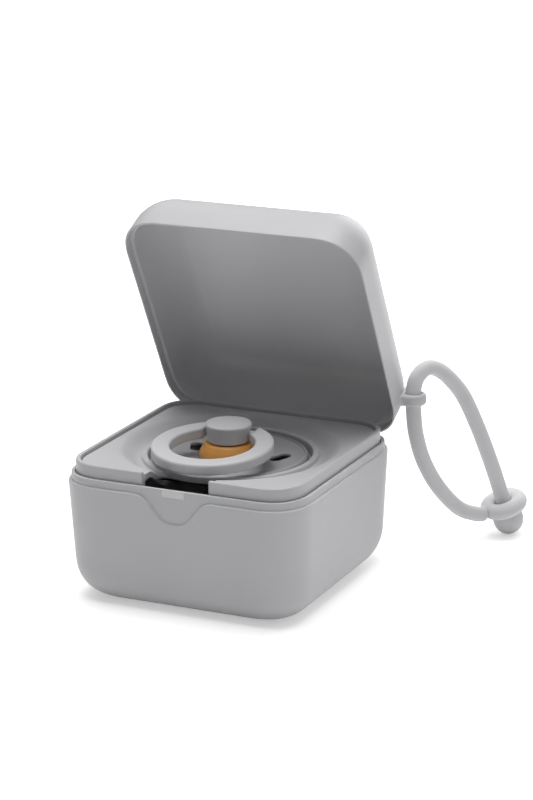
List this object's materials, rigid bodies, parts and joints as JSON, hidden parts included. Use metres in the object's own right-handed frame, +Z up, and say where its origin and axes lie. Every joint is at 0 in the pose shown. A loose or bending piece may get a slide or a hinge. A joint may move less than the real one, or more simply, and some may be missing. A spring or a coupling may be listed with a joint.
{
  "type": "pacifier box",
  "caption": "Square rounded pacifier box standing open: hinged domed lid, lift-out tray with a pacifier and its pull ring, and a looped silicone carry strap on the lid.",
  "frame": {"origin": "middle of the base's flat foot, on the surface the box stands on", "axes": "+X to the right, towards the strap lug; +Y to the back, towards the lid's hinge; +Z up; the finger dip and the catch are at the front, -Y"},
  "size_m": [0.1037, 0.1109, 0.1069],
  "materials": {
    "shell_plastic": "satin moulded, pale grey",
    "tray_plastic": "satin moulded, pale grey",
    "pacifier_plastic": "satin moulded, pale grey",
    "latex": "smooth amber natural latex",
    "silicone": "matt pale grey silicone"
  },
  "bodies": {
    "base": {"base_shell": "shell_plastic"},
    "lid": {"lid_shell": "shell_plastic"},
    "strap": {"strap_cord": "silicone", "strap_eye": "silicone", "strap_ball": "silicone"},
    "tray": {"tray": "tray_plastic"},
    "pacifier": {"pacifier_shield": "pacifier_plastic"},
    "knob": {"pacifier_knob": "pacifier_plastic", "pacifier_teat": "latex"},
    "ring": {"pacifier_ring": "pacifier_plastic"}
  },
  "joints": [
    {"name": "lid_hinge", "type": "hinge", "parent": "base", "child": "lid", "pos_m": [0, 0.0381, 0.03527], "axis": [-1, 0, 0], "range_deg": [-62.9, 0]},
    {"name": "strap_swivel", "type": "hinge", "parent": "lid", "child": "strap", "pos_m": [0.0401, 0.0411, 0.04774], "axis": [0, 0, 1], "range_deg": [-90, 15]},
    {"name": "tray_lift", "type": "slide", "parent": "base", "child": "tray", "axis": [0, 0, 1], "range_m": [0, 0.01]},
    {"name": "pacifier_lift", "type": "slide", "parent": "tray", "child": "pacifier", "axis": [0, 0, 1], "range_m": [0, 0.03]},
    {"name": "knob_turn", "type": "hinge", "parent": "pacifier", "child": "knob", "pos_m": [0, 0, 0.04392], "axis": [0, 0, 1], "continuous": true},
    {"name": "ring_swing", "type": "hinge", "parent": "knob", "child": "ring", "pos_m": [0, 0.001, 0.04392], "axis": [-1, 0, 0], "range_deg": [0, 185]}
  ]
}
